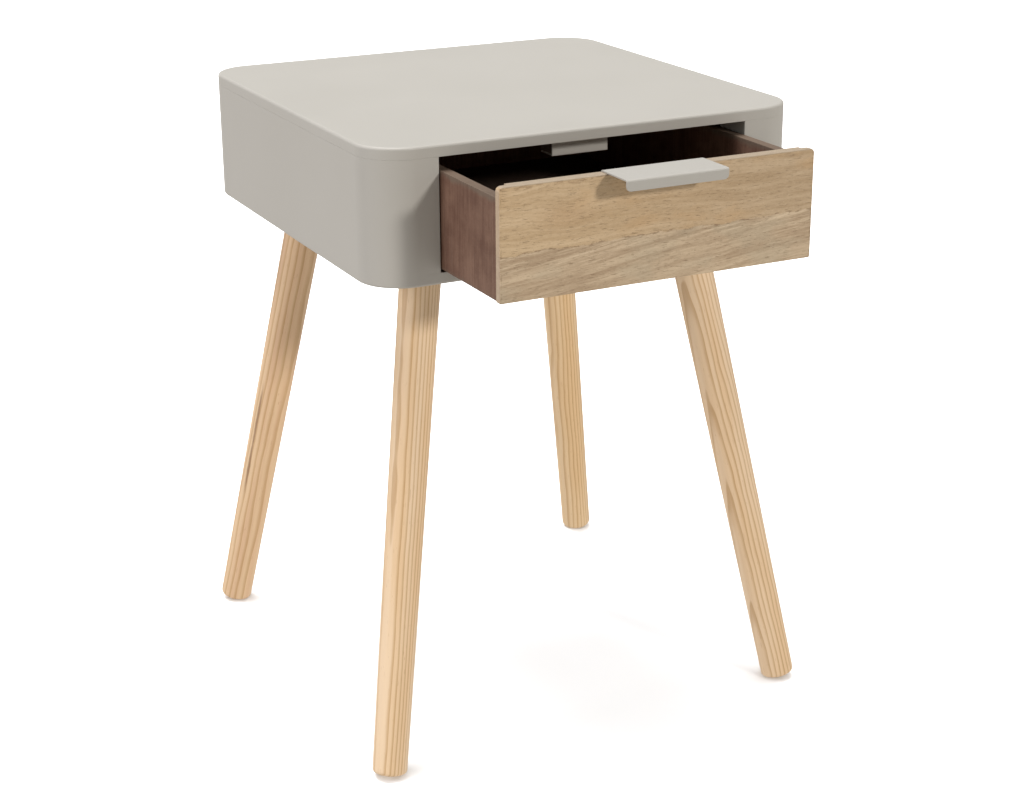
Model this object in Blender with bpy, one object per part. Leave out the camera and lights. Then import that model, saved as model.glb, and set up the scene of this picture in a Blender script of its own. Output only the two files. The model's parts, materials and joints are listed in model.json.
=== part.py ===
"""Side table with one drawer: a lacquered case on four splayed, turned legs.

Metres, +Z up. The front is towards -Y and the drawer slides along Y. It stands part way open.
The origin is on the floor, under the middle of the whole table with the drawer as it stands.
"""

from itertools import product
from math import cos, hypot, pi, radians, sin, tan

import bmesh
import bpy
from mathutils import Matrix, Vector

# ---- Driving dimensions ------------------------------------------------------------------

# Case
TABLE_WIDTH = 0.400
TABLE_DEPTH = 0.400
TABLE_HEIGHT = 0.550
CASE_HEIGHT = 0.115
CORNER_RADIUS = 0.038
EDGE_ROUND = 0.0025
PANEL_THICKNESS = 0.010
WALL_THICKNESS = 0.016
POST_WIDTH = 0.057

# Legs and their fixings
LEG_INSET = 0.0713
LEG_SPLAY = radians(13.3)
LEG_TOP_RADIUS = 0.0179
LEG_FOOT_RADIUS = 0.0152
FOOT_ROUND = 0.0035
LEG_BOLT_RADIUS = 0.004
LEG_BOLT_DEPTH = 0.032
LEG_BOLT_CHAMFER = 0.0008
NUT_FLANGE_RADIUS = 0.011
NUT_FLANGE_THICKNESS = 0.0014
NUT_BARREL_WALL = 0.0012
NUT_LENGTH = 0.0085

# Drawer
DRAWER_OPEN = 0.104
FRONT_THICKNESS = 0.010
FRONT_CORNER_RADIUS = 0.004
FRONT_ARRIS = 0.0008
FRONT_MARGIN_BELOW = 0.0013
FRONT_MARGIN_ABOVE = 0.0025
FRONT_REBATE = 0.0043
SIDE_THICKNESS = 0.009
SIDE_HEIGHT = 0.081
BACK_THICKNESS = 0.009
BOTTOM_THICKNESS = 0.004
BOTTOM_INSET = 0.006
GROOVE_DEPTH = 0.004
REAR_CLEARANCE = 0.0005

# What the drawer runs on, between and under
SIDE_CLEARANCE = 0.001
RUN_CLEARANCE = 0.0003
KICKER_CLEARANCE = 0.0015
RUNNER_THICKNESS = 0.0022
RUNNER_WIDTH = 0.016
GUIDE_WIDTH = 0.012
GUIDE_HEIGHT = 0.030
KICKER_WIDTH = 0.016
STOP_WIDTH = 0.053
STOP_DEPTH = 0.020
STOP_SETBACK = 0.030
STOP_CATCH = 0.007
STOP_ROUND = 0.002
STOP_SCREW_SPACING = 0.030

# Pull, bent from sheet metal
PULL_WIDTH = 0.091
PULL_OFFSET = -0.004
PULL_THICKNESS = 0.0012
PULL_REACH = 0.030
PULL_LIP = 0.009
PULL_FLANGE = 0.018
PULL_BEND = 0.0006
PULL_CORNER = 0.004
PULL_SCREW_SPACING = 0.056
PULL_SCREW_DROP = 0.011

# Fasteners
CASE_SCREW_RADIUS = 0.002
CASE_SCREW_HEAD_RADIUS = 0.004
CASE_SCREW_LENGTH = 0.036
STOP_SCREW_RADIUS = 0.0017
STOP_SCREW_HEAD_RADIUS = 0.0034
STOP_SCREW_BITE = 0.006
PULL_SCREW_RADIUS = 0.0014
PULL_SCREW_HEAD_RADIUS = 0.0028
PULL_SCREW_HEAD_HEIGHT = 0.0016
PULL_SCREW_LENGTH = 0.0075
DOWEL_RADIUS = 0.003
DOWEL_CHAMFER = 0.0008
DOWEL_IN_TOP = 0.0065
DOWEL_IN_WALL = 0.020

# Fits
GAP = 0.0003
HOLE_CLEARANCE = 0.0003
CUT_PAST = 0.004

# Fineness of the round shapes
CORNER_STEPS = 12
ROUND_STEPS = 3
LEG_SIDES = 32
BORE_SIDES = 20
SMOOTH_UNDER = radians(35)

# ---- Places worked out from them ---------------------------------------------------------

half_width = TABLE_WIDTH / 2
half_depth = TABLE_DEPTH / 2
case_underside = TABLE_HEIGHT - CASE_HEIGHT
floor_top = case_underside + PANEL_THICKNESS
ceiling = TABLE_HEIGHT - PANEL_THICKNESS
wall_low = floor_top + GAP
wall_high = ceiling - GAP
front_face = -half_depth
post_back = front_face + CORNER_RADIUS
back_wall_face = half_depth - WALL_THICKNESS
jamb = half_width - POST_WIDTH

drawer_half_width = jamb - SIDE_CLEARANCE
side_inner_face = drawer_half_width - SIDE_THICKNESS
side_low = wall_low + RUNNER_THICKNESS + RUN_CLEARANCE
side_high = side_low + SIDE_HEIGHT
front_low = floor_top + FRONT_MARGIN_BELOW
front_high = ceiling - FRONT_MARGIN_ABOVE
front_back = front_face + FRONT_THICKNESS
box_back = back_wall_face - REAR_CLEARANCE
bottom_low = side_low + BOTTOM_INSET
bottom_high = bottom_low + BOTTOM_THICKNESS
stop_low = side_high - STOP_CATCH
stop_front = front_face + STOP_SETBACK

leg_x = half_width - LEG_INSET
leg_y = half_depth - LEG_INSET
foot_lift = (LEG_FOOT_RADIUS - FOOT_ROUND) * sin(LEG_SPLAY)
leg_length = (case_underside - GAP - foot_lift) / cos(LEG_SPLAY)
foot_y = leg_y + (case_underside - GAP) * tan(LEG_SPLAY) * leg_y / hypot(leg_x, leg_y)

frontmost = front_face - DRAWER_OPEN - PULL_REACH
rearmost = foot_y + LEG_FOOT_RADIUS
case_centre_y = -(frontmost + rearmost) / 2


# ---- Making things -----------------------------------------------------------------------


def principled(name, colour, roughness, metallic=0.0):
    """A plain material of one colour."""
    material = bpy.data.materials.new(name)
    material.use_nodes = True
    shader = material.node_tree.nodes["Principled BSDF"]
    shader.inputs["Base Color"].default_value = (*colour, 1.0)
    shader.inputs["Roughness"].default_value = roughness
    shader.inputs["Metallic"].default_value = metallic
    material.diffuse_color = (*colour, 1.0)
    return material


def empty(name, parent, location):
    """A bare frame that pieces hang from."""
    frame = bpy.data.objects.new(name, None)
    bpy.context.collection.objects.link(frame)
    frame.parent = parent
    frame.location = location
    return frame


def piece(name, bm, material, parent, location=(0, 0, 0), turn=None):
    """An object from a bmesh, with its faces pointing out and its flat faces kept crisp."""
    bmesh.ops.remove_doubles(bm, verts=bm.verts, dist=1e-7)
    bmesh.ops.recalc_face_normals(bm, faces=bm.faces)
    mesh = bpy.data.meshes.new(name)
    bm.to_mesh(mesh)
    bm.free()
    mesh.shade_smooth()
    mesh.set_sharp_from_angle(angle=SMOOTH_UNDER)
    if material:
        mesh.materials.append(material)
    made = bpy.data.objects.new(name, mesh)
    bpy.context.collection.objects.link(made)
    made.parent = parent
    made.location = location
    if turn:
        made.rotation_euler = turn
    return made


def cutter(made):
    """Marks an object as a guide that only cuts others."""
    made.hide_render = True
    made.display_type = "WIRE"
    return made


def cut(target, tool):
    """Takes the tool's shape out of the target."""
    boolean = target.modifiers.new(tool.name, "BOOLEAN")
    boolean.operation = "DIFFERENCE"
    boolean.solver = "EXACT"
    boolean.object = tool


def box(name, low, high, material, parent):
    """A cuboid between two corners, with its origin in its middle."""
    low, high = Vector(low), Vector(high)
    bm = bmesh.new()
    bmesh.ops.create_cube(bm, size=1.0)
    bmesh.ops.scale(bm, vec=high - low, verts=bm.verts)
    return piece(name, bm, material, parent, (low + high) / 2)


def rounded_outline(low, high, radii):
    """The corners of a rectangle, anticlockwise from the lowest, each an arc of its own radius."""
    corners = (
        (low[0], low[1], pi),
        (high[0], low[1], 1.5 * pi),
        (high[0], high[1], 0.0),
        (low[0], high[1], 0.5 * pi),
    )
    points = []
    for (x, y, start), radius in zip(corners, radii):
        middle_x = x - radius * (1 if x == high[0] else -1)
        middle_y = y - radius * (1 if y == high[1] else -1)
        steps = CORNER_STEPS if radius else 0
        for step in range(steps + 1):
            angle = start + 0.5 * pi * step / CORNER_STEPS
            points.append((middle_x + radius * cos(angle), middle_y + radius * sin(angle)))
    return points


def prism(outline, low, high, side=1):
    """A bmesh of an outline raised from low to high. A side of -1 mirrors it in X."""
    bm = bmesh.new()
    verts = [bm.verts.new((side * x, y, low)) for x, y in outline]
    face = bm.faces.new(verts)
    raised = bmesh.ops.extrude_face_region(bm, geom=[face])["geom"]
    top = [item for item in raised if isinstance(item, bmesh.types.BMVert)]
    bmesh.ops.translate(bm, vec=(0, 0, high - low), verts=top)
    bmesh.ops.remove_doubles(bm, verts=bm.verts, dist=1e-7)
    bmesh.ops.recalc_face_normals(bm, faces=bm.faces)
    return bm


def round_rim(bm, height, radius, steps=ROUND_STEPS):
    """Rounds the edges of a prism that lie at one height."""
    rim = [e for e in bm.edges if all(abs(v.co.z - height) < 1e-7 for v in e.verts)]
    bmesh.ops.bevel(bm, geom=rim, offset=radius, segments=steps, profile=0.5, affect="EDGES")


def turned(profile, sides, hollow=False):
    """A bmesh turned about Z from (radius, height) points. A hollow profile closes on itself."""
    bm = bmesh.new()
    verts = [bm.verts.new((radius, 0, height)) for radius, height in profile]
    pairs = list(zip(verts, verts[1:]))
    if hollow:
        pairs.append((verts[-1], verts[0]))
    edges = [bm.edges.new(pair) for pair in pairs]
    bmesh.ops.spin(
        bm,
        geom=verts + edges,
        cent=(0, 0, 0),
        axis=(0, 0, 1),
        angle=2 * pi,
        steps=sides,
        use_merge=True,
    )
    bmesh.ops.remove_doubles(bm, verts=bm.verts, dist=1e-7)
    return bm


def grown(profile, past=CUT_PAST):
    """The profile of the hole for a turned piece: wider, deeper, and open at its low end."""
    wide = [(r + HOLE_CLEARANCE if r else 0.0, z) for r, z in profile]
    start = [(r, z - past) for r, z in wide[:2]]
    end = [(r, z + HOLE_CLEARANCE) for r, z in wide[-2:]]
    return start + wide[1:-2] + end


def countersunk_profile(radius, head_radius, length):
    """A wood screw with its flat head at zero and its point at the given length."""
    head = head_radius - radius
    return [(0, 0), (head_radius, 0), (radius, head), (radius, length - 2 * radius), (0, length)]


def drive(name, profile, material, parent, location, turn, through):
    """Puts a turned fastener in place and cuts its hole in each piece that it goes through."""
    piece(name, turned(profile, BORE_SIDES), material, parent, location, turn)
    hole = piece(name + "_hole", turned(grown(profile), BORE_SIDES), None, parent, location, turn)
    cutter(hole)
    for target in through:
        cut(target, hole)


# ---- The pieces, each by its own function ------------------------------------------------


def make_panels(table, lacquer):
    """The tabletop and the case's floor, round-cornered, with their outer edges eased."""
    outline = rounded_outline(
        (-half_width, -half_depth), (half_width, half_depth), [CORNER_RADIUS] * 4
    )
    top = prism(outline, ceiling, TABLE_HEIGHT)
    round_rim(top, TABLE_HEIGHT, EDGE_ROUND)
    floor = prism(outline, case_underside, floor_top)
    round_rim(floor, case_underside, EDGE_ROUND)
    return piece("tabletop", top, lacquer, table), piece("floor_panel", floor, lacquer, table)


def make_walls(table, lacquer):
    """The walls between the two panels, with where each one's screw and dowel go."""
    walls = []
    for side, hand in ((-1, "left"), (1, "right")):
        outline = rounded_outline(
            (jamb, front_face), (half_width, post_back), (0, CORNER_RADIUS, 0, 0)
        )
        post = piece(
            "front_post_" + hand, prism(outline, wall_low, wall_high, side), lacquer, table
        )
        walls.append((post, side * (half_width - POST_WIDTH / 2), (front_face + post_back) / 2))

        low = half_width - CORNER_RADIUS
        back = half_depth - CORNER_RADIUS
        outline = rounded_outline((low, back), (half_width, half_depth), (0, 0, CORNER_RADIUS, 0))
        corner = piece(
            "rear_corner_" + hand, prism(outline, wall_low, wall_high, side), lacquer, table
        )
        # The middle of a quarter disc lies this share of its radius from each straight side.
        middle = CORNER_RADIUS * 4 / (3 * pi)
        walls.append((corner, side * (low + middle), back + middle))

        inner, outer = sorted((side * (half_width - WALL_THICKNESS), side * half_width))
        wall = box(
            "side_wall_" + hand,
            (inner, post_back + GAP, wall_low),
            (outer, back - GAP, wall_high),
            lacquer,
            table,
        )
        walls.append((wall, side * (half_width - WALL_THICKNESS / 2), 0.0))

    reach = half_width - CORNER_RADIUS - GAP
    back_wall = box(
        "back_wall",
        (-reach, back_wall_face, wall_low),
        (reach, half_depth, wall_high),
        lacquer,
        table,
    )
    for side in (-1, 1):
        walls.append((back_wall, side * reach / 2, half_depth - WALL_THICKNESS / 2))
    return walls


def join_case(table, top, floor, walls, steel, beech):
    """A screw up through the floor and a dowel into the top, at each of the walls' fixings."""
    screw = countersunk_profile(CASE_SCREW_RADIUS, CASE_SCREW_HEAD_RADIUS, CASE_SCREW_LENGTH)
    dowel = [
        (0, 0),
        (DOWEL_RADIUS - DOWEL_CHAMFER, 0),
        (DOWEL_RADIUS, DOWEL_CHAMFER),
        (DOWEL_RADIUS, DOWEL_IN_WALL + DOWEL_IN_TOP - DOWEL_CHAMFER),
        (DOWEL_RADIUS - DOWEL_CHAMFER, DOWEL_IN_WALL + DOWEL_IN_TOP),
        (0, DOWEL_IN_WALL + DOWEL_IN_TOP),
    ]
    for number, (wall, x, y) in enumerate(walls, 1):
        head = case_underside + GAP
        drive(f"case_screw_{number}", screw, steel, table, (x, y, head), None, (floor, wall))
        foot = ceiling - DOWEL_IN_WALL
        name = f"top_dowel_{number}"
        piece(name, turned(dowel, BORE_SIDES), beech, table, (x, y, foot))
        hole = turned(grown(dowel, HOLE_CLEARANCE), BORE_SIDES)
        hole = cutter(piece(name + "_hole", hole, None, table, (x, y, foot)))
        cut(top, hole)
        cut(wall, hole)


def make_ways(table, hardwood):
    """What the drawer's sides slide on, between and under: runners, guides and kickers."""
    front = post_back + GAP
    back = back_wall_face - GAP
    runner_high = wall_low + RUNNER_THICKNESS
    kicker_low = side_high + KICKER_CLEARANCE
    for side, hand in ((-1, "left"), (1, "right")):
        # A corner block that reaches far enough inwards is given room in each of the ways.
        near, far = sorted((side * (half_width - CORNER_RADIUS - GAP), side * half_width))
        room = cutter(
            box(
                "corner_room_" + hand,
                (near, half_depth - CORNER_RADIUS - GAP, wall_low - CUT_PAST),
                (far, half_depth, wall_high + CUT_PAST),
                None,
                table,
            )
        )
        ways = (
            ("runner_", jamb - RUNNER_WIDTH, jamb - GAP, wall_low, runner_high),
            ("guide_", jamb, jamb + GUIDE_WIDTH, wall_low, wall_low + GUIDE_HEIGHT),
            ("kicker_", jamb - KICKER_WIDTH, jamb, kicker_low, wall_high),
        )
        for name, inner, outer, low, high in ways:
            left, right = sorted((side * inner, side * outer))
            way = box(name + hand, (left, front, low), (right, back, high), hardwood, table)
            cut(way, room)


def make_stop(table, top, lacquer, steel):
    """The block under the tabletop that the drawer's back meets, with its two screws."""
    height = wall_high - stop_low
    outline = rounded_outline(
        (-STOP_WIDTH / 2, 0), (STOP_WIDTH / 2, height), (STOP_ROUND, STOP_ROUND, 0, 0)
    )
    # Turned upright, the prism's length runs from the block's back towards its front.
    place = (0, stop_front + STOP_DEPTH, stop_low)
    stop = piece("drawer_stop", prism(outline, 0, STOP_DEPTH), lacquer, table, place, (pi / 2, 0, 0))
    length = ceiling - stop_low + STOP_SCREW_BITE
    screw = countersunk_profile(STOP_SCREW_RADIUS, STOP_SCREW_HEAD_RADIUS, length)
    for side, hand in ((-1, "left"), (1, "right")):
        x = side * STOP_SCREW_SPACING / 2
        place = (x, stop_front + STOP_DEPTH / 2, stop_low + GAP)
        drive("stop_screw_" + hand, screw, steel, table, place, None, (stop, top))


def round_rim_of_foot(bm):
    """Eases the foot's edge, which is the ring of edges at height zero."""
    rim = [
        e
        for e in bm.edges
        if all(abs(v.co.z) < 1e-7 and hypot(v.co.x, v.co.y) > LEG_FOOT_RADIUS / 2 for v in e.verts)
    ]
    bmesh.ops.bevel(
        bm, geom=rim, offset=FOOT_ROUND, segments=ROUND_STEPS, profile=0.5, affect="EDGES"
    )


def make_leg(name, side, end, table, floor, pine, steel):
    """A turned leg sawn level at its top, with its hanger bolt and the flanged nut for it."""
    outward = Vector((side * leg_x, end * leg_y, 0)).normalized()
    spare = leg_length + 2 * LEG_TOP_RADIUS
    profile = [
        (0, 0),
        (LEG_FOOT_RADIUS, 0),
        (LEG_TOP_RADIUS, leg_length),
        (LEG_TOP_RADIUS, spare),
        (0, spare),
    ]
    bm = turned(profile, LEG_SIDES)
    round_rim_of_foot(bm)
    # The leg is turned along Z, so it is moved up to hang from its top, spun so that a corner
    # of its many-sided outline points inwards, and leant outwards.
    heading = Vector((1, 0, 0)).rotation_difference(outward).to_matrix().to_4x4()
    lean = Matrix.Rotation(LEG_SPLAY, 4, Vector((0, 0, 1)).cross(outward))
    bm.transform(lean.inverted() @ heading @ Matrix.Translation((0, 0, -leg_length)))
    sawn = bmesh.ops.bisect_plane(
        bm,
        geom=bm.verts[:] + bm.edges[:] + bm.faces[:],
        plane_co=(0, 0, 0),
        plane_no=(0, 0, 1),
        clear_outer=True,
    )
    rim = [item for item in sawn["geom_cut"] if isinstance(item, bmesh.types.BMEdge)]
    bmesh.ops.contextual_create(bm, geom=rim)
    place = (side * leg_x, end * leg_y, case_underside - GAP)
    leg = piece("leg_" + name, bm, pine, table, place)

    bolt_top = floor_top - NUT_FLANGE_THICKNESS
    low = case_underside - LEG_BOLT_DEPTH
    bolt = [
        (0, 0),
        (LEG_BOLT_RADIUS - LEG_BOLT_CHAMFER, 0),
        (LEG_BOLT_RADIUS, LEG_BOLT_CHAMFER),
        (LEG_BOLT_RADIUS, bolt_top - low - LEG_BOLT_CHAMFER),
        (LEG_BOLT_RADIUS - LEG_BOLT_CHAMFER, bolt_top - low),
        (0, bolt_top - low),
    ]
    place = (side * leg_x, end * leg_y, low)
    piece("leg_bolt_" + name, turned(bolt, BORE_SIDES), steel, table, place)
    hole = [
        (0, -HOLE_CLEARANCE),
        (LEG_BOLT_RADIUS + HOLE_CLEARANCE, -HOLE_CLEARANCE),
        (LEG_BOLT_RADIUS + HOLE_CLEARANCE, bolt_top - low + CUT_PAST),
        (0, bolt_top - low + CUT_PAST),
    ]
    hole = piece("leg_bolt_hole_" + name, turned(hole, BORE_SIDES), None, table, place)
    cut(leg, cutter(hole))

    bore = LEG_BOLT_RADIUS + HOLE_CLEARANCE
    barrel = bore + NUT_BARREL_WALL
    flange_low = NUT_LENGTH - NUT_FLANGE_THICKNESS
    nut = [
        (bore, 0),
        (barrel, 0),
        (barrel, flange_low),
        (NUT_FLANGE_RADIUS, flange_low),
        (NUT_FLANGE_RADIUS, NUT_LENGTH),
        (bore, NUT_LENGTH),
    ]
    place = (side * leg_x, end * leg_y, floor_top - GAP - NUT_LENGTH)
    piece("leg_nut_" + name, turned(nut, BORE_SIDES, hollow=True), steel, table, place)
    pocket = [
        (0, -PANEL_THICKNESS),
        (barrel + HOLE_CLEARANCE, -PANEL_THICKNESS),
        (barrel + HOLE_CLEARANCE, flange_low - HOLE_CLEARANCE),
        (NUT_FLANGE_RADIUS + HOLE_CLEARANCE, flange_low - HOLE_CLEARANCE),
        (NUT_FLANGE_RADIUS + HOLE_CLEARANCE, NUT_LENGTH + CUT_PAST),
        (0, NUT_LENGTH + CUT_PAST),
    ]
    pocket = piece("leg_nut_hole_" + name, turned(pocket, BORE_SIDES), None, table, place)
    cut(floor, cutter(pocket))


def make_drawer_front(drawer, oak):
    """The front board, round at its upper corners, rebated behind for the drawer's sides."""
    height = front_high - front_low
    outline = rounded_outline(
        (-drawer_half_width, 0),
        (drawer_half_width, height),
        (0, 0, FRONT_CORNER_RADIUS, FRONT_CORNER_RADIUS),
    )
    bm = prism(outline, 0, FRONT_THICKNESS)
    round_rim(bm, FRONT_THICKNESS, FRONT_ARRIS, 2)
    # Turned upright, the board's thickness runs from its back towards its face.
    front = piece("drawer_front", bm, oak, drawer, (0, front_back, front_low), (pi / 2, 0, 0))
    for side, hand in ((-1, "left"), (1, "right")):
        near, far = sorted((side * (side_inner_face - GAP), side * (drawer_half_width + CUT_PAST)))
        rebate = box(
            "front_rebate_" + hand,
            (near, front_back - FRONT_REBATE, front_low - CUT_PAST),
            (far, front_back + CUT_PAST, front_high + CUT_PAST),
            None,
            drawer,
        )
        cut(front, cutter(rebate))
    return front


def make_drawer_box(drawer, front, ply, board):
    """The drawer's sides, back and bottom, with the groove that holds the bottom all round."""
    grooved = [front]
    side_front = front_back - FRONT_REBATE + GAP
    for side, hand in ((-1, "left"), (1, "right")):
        left, right = sorted((side * side_inner_face, side * drawer_half_width))
        grooved.append(
            box(
                "drawer_side_" + hand,
                (left, side_front, side_low),
                (right, box_back, side_high),
                ply,
                drawer,
            )
        )
    reach = side_inner_face - GAP
    grooved.append(
        box(
            "drawer_back",
            (-reach, box_back - BACK_THICKNESS, side_low),
            (reach, box_back, side_high),
            ply,
            drawer,
        )
    )
    low = Vector((-side_inner_face - GROOVE_DEPTH, front_back - GROOVE_DEPTH, bottom_low))
    high = Vector(
        (side_inner_face + GROOVE_DEPTH, box_back - BACK_THICKNESS + GROOVE_DEPTH, bottom_high)
    )
    loose = Vector((GAP, GAP, GAP))
    box("drawer_bottom", low, high, board, drawer)
    groove = cutter(box("drawer_groove", low - loose, high + loose, None, drawer))
    for target in grooved:
        cut(target, groove)


def bent_path(start, runs, bend, steps):
    """Points and normals along a strip that goes up, forward and down, with round bends.

    They are (y, z) pairs on the strip's middle, and the normals point to its outside.
    """
    at = Vector(start)
    heading = pi / 2
    path = []
    for number, run in enumerate(runs):
        along = Vector((cos(heading), sin(heading)))
        path.append((at.copy(), heading))
        at += along * run
        path.append((at.copy(), heading))
        if number == len(runs) - 1:
            break
        middle = at + Vector((-along.y, along.x)) * bend
        for step in range(1, steps):
            angle = heading + 0.5 * pi * step / steps
            spoke = Vector((sin(angle), -cos(angle))) * bend
            path.append((middle + spoke, angle))
        heading += 0.5 * pi
        at = middle + Vector((sin(heading), -cos(heading))) * bend
    return [(at, Vector((sin(angle), -cos(angle)))) for at, angle in path]


def ends_with_round_corners(path, radius, steps):
    """Adds points near both ends of a path, each with how far its edge is drawn in there."""
    drawn = []
    for at, normal, inward in (
        (path[0][0], path[0][1], (path[1][0] - path[0][0]).normalized()),
        (path[-1][0], path[-1][1], (path[-2][0] - path[-1][0]).normalized()),
    ):
        drawn.append(
            [
                (
                    at + inward * radius * (1 - cos(0.5 * pi * step / steps)),
                    normal,
                    radius * (1 - sin(0.5 * pi * step / steps)),
                )
                for step in range(steps + 1)
            ]
        )
    middle = [(at, normal, 0.0) for at, normal in path[1:-1]]
    return drawn[0] + middle + drawn[1][::-1]


def make_pull(drawer, front, lacquer, steel):
    """The edge pull: a flange behind the front, a plate over it and a lip hanging before it."""
    half = PULL_THICKNESS / 2
    bend = PULL_BEND + half
    outer = bend + half
    plate_high = front_high + GAP + PULL_THICKNESS
    flange_low = plate_high - PULL_FLANGE
    start = (front_back - half, flange_low)
    runs = (
        PULL_FLANGE - outer,
        FRONT_THICKNESS + PULL_REACH - 2 * outer,
        PULL_LIP - outer,
    )
    path = ends_with_round_corners(bent_path(start, runs, bend, ROUND_STEPS), PULL_CORNER, 4)
    bm = bmesh.new()
    rings = []
    for at, normal, drawn_in in path:
        outside = at + normal * half
        inside = at - normal * half
        reach = PULL_WIDTH / 2 - drawn_in
        corners = ((-reach, outside), (reach, outside), (reach, inside), (-reach, inside))
        rings.append([bm.verts.new((x, place.x, place.y)) for x, place in corners])
    for near, far in zip(rings, rings[1:]):
        for i, j in ((0, 1), (1, 2), (2, 3), (3, 0)):
            bm.faces.new((near[i], near[j], far[j], far[i]))
    bm.faces.new(rings[0])
    bm.faces.new(rings[-1][::-1])
    pull = piece("drawer_pull", bm, lacquer, drawer, (PULL_OFFSET, 0, 0))

    # The flange lies in a shallow rebate, so that it is flush with the front's back.
    reach = PULL_WIDTH / 2 + GAP
    rebate = box(
        "pull_rebate",
        (PULL_OFFSET - reach, front_back - PULL_THICKNESS - GAP, flange_low - GAP),
        (PULL_OFFSET + reach, front_back + CUT_PAST, front_high + CUT_PAST),
        None,
        drawer,
    )
    cut(front, cutter(rebate))

    head = [
        (0, -PULL_SCREW_HEAD_HEIGHT),
        (0.6 * PULL_SCREW_HEAD_RADIUS, -PULL_SCREW_HEAD_HEIGHT),
        (PULL_SCREW_HEAD_RADIUS, -0.4 * PULL_SCREW_HEAD_HEIGHT),
        (PULL_SCREW_HEAD_RADIUS, -GAP),
        (PULL_SCREW_RADIUS, -GAP),
        (PULL_SCREW_RADIUS, PULL_SCREW_LENGTH - 2 * PULL_SCREW_RADIUS),
        (0, PULL_SCREW_LENGTH),
    ]
    bore = [
        (0, 0),
        (PULL_SCREW_RADIUS, 0),
        (PULL_SCREW_RADIUS, PULL_SCREW_LENGTH - 2 * PULL_SCREW_RADIUS),
        (0, PULL_SCREW_LENGTH),
    ]
    for side, hand in ((-1, "left"), (1, "right")):
        x = PULL_OFFSET + side * PULL_SCREW_SPACING / 2
        place = (x, front_back, plate_high - PULL_SCREW_DROP)
        turn = (pi / 2, 0, 0)
        name = "pull_screw_" + hand
        piece(name, turned(head, BORE_SIDES), steel, drawer, place, turn)
        hole = turned(grown(bore), BORE_SIDES)
        hole = cutter(piece(name + "_hole", hole, None, drawer, place, turn))
        cut(pull, hole)
        cut(front, hole)


def main():
    for old in list(bpy.data.objects):
        bpy.data.objects.remove(old, do_unlink=True)

    lacquer = principled("taupe_lacquer", (0.46, 0.42, 0.37), 0.45)
    oak = principled("limed_oak", (0.52, 0.40, 0.26), 0.55)
    ply = principled("stained_ply", (0.22, 0.12, 0.08), 0.60)
    board = principled("hardboard", (0.16, 0.10, 0.06), 0.70)
    pine = principled("clear_pine", (0.68, 0.47, 0.25), 0.50)
    hardwood = principled("waxed_beech", (0.50, 0.34, 0.20), 0.60)
    steel = principled("zinc_steel", (0.60, 0.60, 0.58), 0.35, 1.0)

    table = empty("table", None, (0, case_centre_y, 0))
    drawer = empty("drawer", table, (0, -DRAWER_OPEN, 0))

    top, floor = make_panels(table, lacquer)
    walls = make_walls(table, lacquer)
    join_case(table, top, floor, walls, steel, hardwood)
    make_ways(table, hardwood)
    make_stop(table, top, lacquer, steel)
    for (side, hand), (end, row) in product(
        ((-1, "left"), (1, "right")), ((-1, "front"), (1, "rear"))
    ):
        make_leg(f"{row}_{hand}", side, end, table, floor, pine, steel)

    front = make_drawer_front(drawer, oak)
    make_drawer_box(drawer, front, ply, board)
    make_pull(drawer, front, lacquer, steel)
    bpy.context.view_layer.update()


main()
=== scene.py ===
"""Side table with one drawer: the finished pieces, their materials, the light and the camera.

Metres, +Z up, the front towards -Y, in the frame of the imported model.
"""

import json
from itertools import product
from math import cos, pi, radians, sin

import bmesh
import bpy
from mathutils import Matrix, Vector

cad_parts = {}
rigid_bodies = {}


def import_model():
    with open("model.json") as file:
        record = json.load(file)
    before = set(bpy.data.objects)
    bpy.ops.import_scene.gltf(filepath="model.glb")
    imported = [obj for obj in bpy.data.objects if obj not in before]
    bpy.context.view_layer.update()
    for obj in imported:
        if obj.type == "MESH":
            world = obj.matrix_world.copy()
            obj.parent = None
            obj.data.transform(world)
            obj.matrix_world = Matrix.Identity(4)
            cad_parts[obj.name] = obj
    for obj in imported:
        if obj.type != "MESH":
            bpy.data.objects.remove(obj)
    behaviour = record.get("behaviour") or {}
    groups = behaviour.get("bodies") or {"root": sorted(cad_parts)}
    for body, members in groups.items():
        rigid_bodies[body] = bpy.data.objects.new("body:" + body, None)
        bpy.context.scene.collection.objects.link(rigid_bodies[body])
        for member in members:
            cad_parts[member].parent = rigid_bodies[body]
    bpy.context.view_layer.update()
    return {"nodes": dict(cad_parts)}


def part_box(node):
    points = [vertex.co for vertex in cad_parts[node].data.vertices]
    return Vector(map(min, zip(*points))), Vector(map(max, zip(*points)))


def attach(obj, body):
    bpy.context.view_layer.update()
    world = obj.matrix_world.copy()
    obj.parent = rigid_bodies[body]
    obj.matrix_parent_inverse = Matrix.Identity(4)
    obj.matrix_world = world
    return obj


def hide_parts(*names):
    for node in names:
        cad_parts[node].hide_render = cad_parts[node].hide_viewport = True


for old in list(bpy.data.objects):
    bpy.data.objects.remove(old, do_unlink=True)
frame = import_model()

# ---- The lid -----------------------------------------------------------------------------
# The tabletop is a board of fibreboard with round corners. Its rim is eased all round by a
# router, it is sprayed with satin taupe lacquer, and dowels and glue hold it on the walls.

CORNER_STEPS = 24
EDGE_ROUND = 0.0025
SEAM = 0.00015
OPENING_ARRIS = 0.0006
CRISP = radians(32)

lid_low, lid_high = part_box("tabletop")
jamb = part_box("front_post_right")[0].x
corner_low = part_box("rear_corner_right")[0]
corner_radius = lid_high.x - corner_low.x
inner_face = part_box("side_wall_right")[0].x


def arc(middle, radius, start, sweep, steps):
    """Points along an arc, both its ends among them."""
    angles = [start + sweep * step / steps for step in range(steps + 1)]
    return [(middle[0] + radius * cos(a), middle[1] + radius * sin(a)) for a in angles]


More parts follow.
